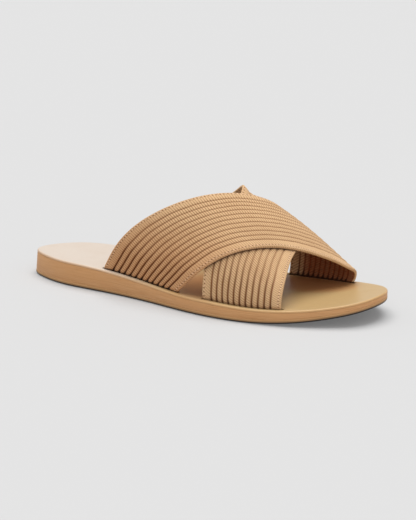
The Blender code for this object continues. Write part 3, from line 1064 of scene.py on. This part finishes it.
# %% Rows of a strap
ROWS = 190
CLOSER = 0.6                             # how much closer the rows lie towards the slits
FLATTER = 0.50                           # share of their depth that the grooves lose on the instep
PINCH_REACH = 42 * MM                    # the cords draw together over the last stretch to a slit
TONGUE = 3.1 * MM                        # how far the strap goes down into the sole
# size of a ripple, and how fast it goes round in radians: per metre along, per width across
SWAY = (0.0016, 310, 9)                  # a share of the width
WANDER = (0.05 * MM, 730, 60)            # a depth
EDGE_SHARE = 0.02                        # the edges themselves don't sway


def even_ways(strap):
    """Ways over for the rows: closer together towards the slits."""
    even = np.linspace(0, 1, ROWS)
    drawn = even - CLOSER * np.sin(2 * math.pi * even) / (2 * math.pi)
    return strap.way_at(drawn * strap.length_table[-1])


def ripple(size, length, share, seed):
    """A slow wave along the strap that differs from cord to cord."""
    height, turns_along, turns_across = size
    return height * np.sin(length * turns_along + share * turns_across + seed)


def strap_row(strap, way, length, from_slit):
    """The section at one way over, with its cords flattened, swayed and wandering."""
    share, depth, groove, inner_shade = SECTION.T
    edge = np.minimum(share, 1 - share) > EDGE_SHARE
    flat = 1 - FLATTER * float(smoothstep(0, PINCH_REACH, from_slit))
    rib = np.where(inner_shade > 0.5, WALL - (WALL - depth) * flat, depth * flat)
    rib = np.where(groove > 0, rib, depth)
    swayed = share + ripple(SWAY, length, share, strap.seed) * edge
    wander = ripple(WANDER, length, share, strap.seed) * edge
    return strap.points(swayed, np.full(len(share), way), rib + wander)


def foot_row(strap, way, sunk):
    """The strap's section at a slit, gone down into the sole."""
    share, depth = SECTION[:, 0], SECTION[:, 1]
    row = strap.points(share, np.full(len(share), way), depth)
    row[:, 2] -= sunk
    return row


print("a strap has", ROWS, "rows of", len(SECTION), "points")

# %% [markdown]
# ### Shade of a strap
#
# Real shade comes from the light, but deep in a narrow groove a small render loses it. So
# every point also gets a number for how near it lies to a slit or to the upper strap, and
# the finish darkens with it. In a groove the shade reaches further than on a cord.

# %% Shade of a strap
SHADE_STARTS = (0.3 * MM, 0.8 * MM)      # distance from a slit, on a cord and more in a groove
SHADE_ENDS = (1.6 * MM, 7.0 * MM)
CROSSING_SHADE = 0.8
CROSSING_REACH = (1.2 * MM, 1.6 * MM)    # from the upper strap, on a cord and more in a groove


def strap_shade(strap, way, length, from_slit, covered_by):
    """Shade by the slits, and on the outer face next to the strap that covers this one."""
    share, _, groove, inner_shade = SECTION.T
    start, end = (on_cord + more * groove for on_cord, more in (SHADE_STARTS, SHADE_ENDS))
    shade = 1 - smoothstep(start, end, from_slit)
    if length < strap.length_table[-1] / 2:
        shade = shade * strap.outer_shade
    if covered_by is not None:
        x = strap.station(share, way)
        clear = np.maximum(x - covered_by.front(way), covered_by.rear(way) - x)
        covered = 1 - smoothstep(0, CROSSING_REACH[0] + CROSSING_REACH[1] * groove, clear)
        shade = np.maximum(shade, np.where(inner_shade > 0, 0.0, CROSSING_SHADE * covered))
    return shade


print("in a groove the shade reaches", round(sum(SHADE_ENDS) / MM, 1), "mm from a slit")

# %% [markdown]
# ### Mesh of a strap
#
# Now the rows are joined to a closed skin: quads between each row and the next, and one
# face at either end. A strap could be thickened by a modifier, but its two faces are not
# alike, so both are in the section. With each point goes what the finish wants to know.

# %% Mesh of a strap
BOUNCE_REACH = (8 * MM, 75 * MM)           # the upper strap's painted warm bounce light fades from its outer slit


def strap_mesh(strap, covered_by=None):
    """Points, faces and the numbers that the finish reads, row by row along the strap."""
    share, _, groove, inner_shade = SECTION.T
    count = len(share)
    whole = strap.length_table[-1]
    rows = []
    for sunk in (TONGUE, TONGUE / 2):
        rows.append((foot_row(strap, 0.0, sunk), -sunk, np.full(count, strap.outer_shade),
                     1.0, strap.warm_bounce))
    for way in even_ways(strap):
        length = float(strap.length_at(way))
        from_slit = min(length, whole - length)
        rows.append((strap_row(strap, way, length, from_slit), length,
                     strap_shade(strap, way, length, from_slit, covered_by),
                     1 - float(smoothstep(0, PINCH_REACH, from_slit)),
                     strap.warm_bounce * (1 - float(smoothstep(*BOUNCE_REACH, length)))))
    for sunk in (TONGUE / 2, TONGUE):
        rows.append((foot_row(strap, 1.0, sunk), whole + sunk, np.ones(count), 1.0, 0.0))
    verts, lengths, shades, pinches, warm_bounces = zip(*rows)
    faces = bridge(len(rows), count)
    faces += [tuple(range(count)), tuple(range((len(rows) - 1) * count, len(rows) * count))]
    across = np.tile(share * STRAP_WIDTH, len(rows))
    along = np.repeat(lengths, count)
    numbers = {"groove": np.tile(groove, len(rows)), "inner_shade": np.tile(inner_shade, len(rows)),
               "foot_shade": np.concatenate(shades), "pinch": np.repeat(pinches, count),
               "warm_bounce": np.repeat(warm_bounces, count),
               "weave_place": np.column_stack([across, along, 0 * across])}
    return np.concatenate(verts), faces, numbers


print("the warm tone ends", round(BOUNCE_REACH[1] / MM), "mm from the outer slit")

# %% [markdown]
# ## Finish of the webbing
#
# Close up, each cord is wrapped in a fine twill: slanted threads a little over a
# millimetre apart. They could be modelled, but that would be millions of faces. In the
# finish they follow the strap, because it reads a place that was stored on every point,
# across and along the webbing. On the flat bands the twill is fainter.

# %% Threads of the webbing
TWILL_PITCH = 1.6 * MM
TWILL_SLANT = 0.55
TWILL_WOBBLE = 0.6 * MM
WOBBLE_SCALE = 220
# the bands fade out across these distances from the rear edge
REAR_BAND_ENDS = (0.075 * STRAP_WIDTH, 0.105 * STRAP_WIDTH)
FRONT_BAND_STARTS = (0.865 * STRAP_WIDTH, 0.895 * STRAP_WIDTH)
CALM = 0.4                               # how much fainter the twill is on a band


def twill_threads(finish, place, across, along):
    """The slanted threads: 1 on top of one, 0 between two."""
    wobble = finish.noise(place, WOBBLE_SCALE, 2.0)
    slanted = finish.math("ADD", along, finish.math("MULTIPLY", across, TWILL_SLANT))
    slanted = finish.math("ADD", slanted, finish.math("MULTIPLY", wobble, TWILL_WOBBLE))
    phase = finish.math("MULTIPLY", slanted, 2 * math.pi / TWILL_PITCH)
    return finish.math("MULTIPLY_ADD", finish.math("SINE", phase), 0.5, 0.5)


def flat_bands(finish, across):
    """1 on the flat bands along both edges, 0 on the cords."""
    return finish.math("MAXIMUM", finish.ramp(across, *REAR_BAND_ENDS, 1.0, 0.0),
                       finish.ramp(across, *FRONT_BAND_STARTS))


print("twill threads are", round(TWILL_PITCH / MM, 1), "mm apart")

# %% [markdown]
# ### Holes of the stitches
#
# Between two stitches the thread goes down through the webbing, and the hole's shade is
# painted as a small dark dot. A dot is where two things meet: near the seam's line across
# the strap, and near the end of a stitch along it. The stitches are laid later at the same
# pitch.

# %% Holes of the stitches
STITCH_SHARES = (0.030, 0.965)           # where the two seams run across the strap
HOLE_EDGE = (0.25 * MM, 0.62 * MM)


def stitch_holes(finish, across, along, share):
    """Painted shade of the holes between the stitches of one seam, as dark dots."""
    aside = finish.math("ABSOLUTE", finish.math("SUBTRACT", across, share * STRAP_WIDTH))
    beat = finish.math("COSINE", finish.math("MULTIPLY", along, 2 * math.pi / STITCH_PITCH))
    return finish.math("MULTIPLY", finish.ramp(aside, *HOLE_EDGE, 0.9, 0.0),
                       finish.ramp(beat, 0.1, 0.8))


print("seams at", [round(share * STRAP_WIDTH / MM, 1) for share in STITCH_SHARES], "mm across")

# %% [markdown]
# ### Colour and relief of the webbing
#
# The tones are laid one over the other: threads, fibres on them, soft patches, painted warm
# light bounced from the leather by the outer slit, painted shade in the grooves and the
# stitch holes, rust-brown painted shade on the inner face, and the painted deep shade where
# the strap goes down. The relief comes from the same threads, so that colour and shape agree.

# %% Colour and relief of the webbing
WEBBING_TONES = {
    "between": screen(152, 106, 65),
    "thread": screen(212, 174, 131),
    "fibre": screen(221, 188, 150),
    # painted shade in the grooves and the stitch holes
    "groove": screen(114, 62, 22),
    # rust-brown painted shade of the inner face
    "inner_face_shade": screen(136, 56, 6),
    # painted deep shade by the slits and along the crossing
    "by_slit": screen(48, 18, 3),
    # painted warm light bounced from the leather
    "warm": screen(186, 98, 20),
}
FIBRE_SCALE = 2600
MOTTLE_SCALE = 60
BOUNCE_STRENGTH = 0.30
GROOVE_STRENGTH = (0.34, 0.84)           # painted groove shade: up on the instep, and by the slits
PLY_PITCH = 0.62 * MM
SHEEN_TONE = screen(236, 208, 176)
WEBBING_RELIEF = 0.16 * MM


def webbing_finish(name, tones):
    """Ribbed webbing: threads, fibres, painted warm bounce light, painted shade in grooves, holes and on the
    inner face, and the painted deep shade by the slits.
    """
    finish = Finish(name)
    place = finish.attribute("weave_place", "Vector")
    across, along, _ = finish.apart(place)
    thread = twill_threads(finish, place, across, along)
    in_band = flat_bands(finish, across)
    fuzz = finish.noise(place, FIBRE_SCALE, 3.0, 0.6)
    patches = finish.noise(place, MOTTLE_SCALE, 3.0)
    # painted warm light bounced from the leather near the outer slit; it also deepens the painted groove
    # shade there
    warm_bounce = finish.math("MULTIPLY", finish.attribute("warm_bounce"), BOUNCE_STRENGTH)
    drawn = finish.ramp(finish.attribute("pinch"), 0.0, 1.0, *GROOVE_STRENGTH)
    drawn = finish.math("ADD", drawn, warm_bounce)
    # painted shade in the grooves, stronger where the cords are drawn together
    deep = finish.math("MULTIPLY", finish.ramp(finish.attribute("groove"), 0.03, 0.55), drawn)
    calm = finish.math("MAXIMUM", finish.ramp(thread, 0.0, 0.6), finish.math("MULTIPLY", in_band, CALM))
    layers = [
        (finish.ramp(fuzz, 0.35, 0.75, 0.0, 0.35), "fibre"),
        (finish.ramp(patches, 0.35, 0.7, 0.0, 0.14), "between"),
        (warm_bounce, "warm"),
        (deep, "groove"),
    ]
    # painted shade of the stitch holes
    layers += [(stitch_holes(finish, across, along, share), "groove") for share in STITCH_SHARES]
    # painted shade on the inner face
    layers.append((finish.ramp(finish.attribute("inner_shade"), 0.5, 1.0, 0.0, 0.74), "inner_face_shade"))
    # painted shade where the strap goes down into its slit and next to the upper strap
    layers.append((finish.math("MULTIPLY", finish.attribute("foot_shade"), 0.95), "by_slit"))
    colour = finish.mix(calm, tones["between"], tones["thread"])
    for share, tone in layers:
        colour = finish.mix(share, colour, tones[tone])
    finish.set(Base_Color=colour, Roughness=0.85, Specular_IOR_Level=0.2, Sheen_Weight=0.18,
               Sheen_Roughness=0.5, Sheen_Tint=SHEEN_TONE,
               Normal=webbing_relief(finish, thread, in_band, across, fuzz))
    return finish.material


def webbing_relief(finish, thread, in_band, across, fuzz):
    """Threads, fainter on the flat bands, with the plies and fibres of each."""
    strength = finish.math("SUBTRACT", 1.0, finish.math("MULTIPLY", in_band, 0.6))
    ply = finish.math("SINE", finish.math("MULTIPLY", across, 2 * math.pi / PLY_PITCH))
    relief = finish.math("MULTIPLY", thread, strength)
    relief = finish.math("ADD", relief, finish.math("MULTIPLY", ply, 0.12))
    relief = finish.math("ADD", relief, finish.math("MULTIPLY", fuzz, 0.5))
    return finish.bump(relief, WEBBING_RELIEF)


webbing = webbing_finish("strap_webbing_twill", WEBBING_TONES)
print("webbing finish has", len(webbing.node_tree.nodes), "nodes")

# %% [markdown]
# ## Both straps
#
# The builder runs once for each strap. The lower one is told which strap covers it, so
# that it gets its shade along the crossing. Both pieces stand for the one solid of the
# upper, in which the straps are joined.

# %% Build both straps
WEBBING_SHARP = 75                       # degrees; the cords' grooves stay soft
for name, strap, covered_by in (("upper_strap_webbing", upper_strap, None),
                                ("lower_strap_webbing", lower_strap, upper_strap)):
    verts, faces, numbers = strap_mesh(strap, covered_by)
    new_piece(name, verts, faces, numbers, webbing, "upper", "upper", sharp=WEBBING_SHARP)
    print(name, "has", sum(len(face) - 2 for face in faces), "triangles")

# %% [markdown]
# ## Slits
#
# Every strap end goes through a slit near the sole's edge. A slit is a real opening, cut
# with a Boolean through the insole and a little way into the midsole, so that the webbing
# goes down into shade as it does on the real shoe.

# %% Blocks that cut the slits
SLIT_GAP = 0.3 * MM
SLIT_END = 1.3 * MM                      # a slit is a little longer than its strap is wide
SLIT_STEPS = 60
ABOVE_FOOTBED = 2 * MM                   # where a block begins, clear of the leather


def slit_cutter(name, rear, front, outer_side):
    """A thin curved block round one strap end."""
    curve = FEET_OUTER if outer_side else FEET_INNER
    inward = 1 if outer_side else -1
    x = np.linspace(rear - SLIT_END, front + SLIT_END, SLIT_STEPS)
    outside = np.column_stack([x, curve(x) - inward * SLIT_GAP])
    inside = np.column_stack([x, curve(x) + inward * (WALL + SLIT_GAP)])[::-1]
    ring = np.concatenate([outside, inside])
    count = len(ring)
    verts = [(*point, footbed(point[0]) + ABOVE_FOOTBED) for point in ring]
    verts += [(*point, footbed(point[0]) - TONGUE - SLIT_GAP) for point in ring]
    faces = bridge(2, count)
    for start in (0, count):
        for i in range(count // 2 - 1):
            faces.append((start + i, start + i + 1, start + count - 2 - i, start + count - 1 - i))
    return new_piece(name, verts, faces, {}, None)


cutters = []
for label, table in (("upper", UPPER_STRAP), ("lower", LOWER_STRAP)):
    for row, outer_side in ((table[0], True), (table[-1], False)):
        name = label + ("_outer" if outer_side else "_inner") + "_slit"
        cutters.append(slit_cutter(name, row[1] * SHOE_LENGTH, row[2] * SHOE_LENGTH, outer_side))
print("blocks for", [cutter.name for cutter in cutters])

# %% [markdown]
# ### Cut them out
#
# Each block is taken away from the insole and the midsole, and then the blocks themselves
# are deleted. The modifiers are applied at once, so that the slits are part of the mesh
# and nothing depends on the blocks any more.

# %% Cut the slits
def cut_slits(target, cutters):
    """Cut every slit out of a layer and keep the result as its mesh."""
    for cutter in cutters:
        boolean = target.modifiers.new(cutter.name, "BOOLEAN")
        boolean.operation = "DIFFERENCE"
        boolean.solver = "EXACT"
        boolean.object = cutter
    with bpy.context.temp_override(object=target, active_object=target, selected_objects=[target]):
        for modifier in list(target.modifiers):
            bpy.ops.object.modifier_apply(modifier=modifier.name)
    smooth_shading(target.data, SHARP_ANGLE)


for target in (insole, midsole):
    cut_slits(target, cutters)
    print(target.name, "has", len(target.data.polygons), "faces with its slits")
for cutter in cutters:
    bpy.data.objects.remove(cutter, do_unlink=True)

# %% [markdown]
# ## Thread
#
# The straps are sewn with a thread that is a little paler than the webbing. It is too thin
# to show plies, so its finish is two tones mixed by a fine noise, and the same noise gives
# the thread its fuzz.

# %% Thread finish
FUZZ_SCALE = 2400
THREAD_RELIEF = 0.06 * MM
THREAD_TONES = (screen(206, 162, 122), screen(236, 202, 164))
thread_finish = Finish("stitch_thread")
thread_fuzz = thread_finish.noise(thread_finish.place(), FUZZ_SCALE, 3.0, 0.6)
thread_colour = thread_finish.mix(thread_finish.ramp(thread_fuzz, 0.3, 0.7), *THREAD_TONES)
thread_finish.set(Base_Color=thread_colour, Roughness=0.7, Sheen_Weight=0.2,
                  Normal=thread_finish.bump(thread_fuzz, THREAD_RELIEF))
print("thread finish has", len(thread_finish.nodes), "nodes")

# %% [markdown]
# ## Stitches
#
# A row of short stitches runs along both edges of each strap. One stitch is a small
# spindle of thread. It could be an instance on a curve, but a plain loop that copies its
# points along the strap gives one joined mesh for each strap, laid on the webbing itself.
# The loop leaves out the stitches that would lie hidden under the other strap.

# %% Lay the stitches
STITCH_LENGTH = 1.5 * MM
STITCH_WIDTH = 0.55 * MM
STITCH_RISE = 0.22 * MM
STITCH_SHARP = 60                        # degrees
# place along the stitch and radius there
SPINDLE = [(-1.0, 0.35), (-0.7, 0.85), (0.0, 1.0), (0.7, 0.85), (1.0, 0.35)]
SPINDLE_SIDES = 6
AROUND_STITCH = np.array([-0.2, 0.0, 0.2]) * STITCH_PITCH    # where its direction is measured


def spindle():
    """Points of one stitch along X, and its faces."""
    verts = []
    for place, radius in SPINDLE:
        for turn in np.arange(SPINDLE_SIDES) * 2 * math.pi / SPINDLE_SIDES:
            verts.append((place, radius * math.cos(turn), radius * math.sin(turn)))
    faces = bridge(len(SPINDLE), SPINDLE_SIDES)
    faces += [tuple(range(SPINDLE_SIDES)), tuple(range(len(verts) - SPINDLE_SIDES, len(verts)))]
    return np.array(verts), faces


def stitches(strap, covered_by=None):
    """All stitches of one strap that nothing covers, as points and faces."""
    template, template_faces = spindle()
    size = np.array([STITCH_LENGTH, STITCH_WIDTH, 2 * STITCH_RISE]) / 2
    verts, faces = [], []
    for share in STITCH_SHARES:
        for k in range(int(strap.length_table[-1] / STITCH_PITCH)):
            ways = strap.way_at((k + 0.5) * STITCH_PITCH + AROUND_STITCH)
            if covered_by is not None and covered_by.covers(strap.station(share, ways[1]), ways[1]):
                continue
            line = strap.points(np.full(3, share), ways, np.zeros(3))
            raised = strap.points(np.array([share]), ways[1:2], np.array([-MM]))[0]
            along = (line[2] - line[0]) / np.linalg.norm(line[2] - line[0])
            up = (raised - line[1]) / np.linalg.norm(raised - line[1])
            axes = np.array([along, np.cross(up, along), up])
            start = sum(len(part) for part in verts)
            verts.append(line[1] + (template * size) @ axes)
            faces += [tuple(start + i for i in face) for face in template_faces]
    return np.concatenate(verts), faces


for name, strap, covered_by in (("upper_strap_stitches", upper_strap, None),
                                ("lower_strap_stitches", lower_strap, upper_strap)):
    verts, faces = stitches(strap, covered_by)
    new_piece(name, verts, faces, {}, thread_finish.material, None, "upper", sharp=STITCH_SHARP)
    print(name, "has", len(faces), "faces")

# %% [markdown]
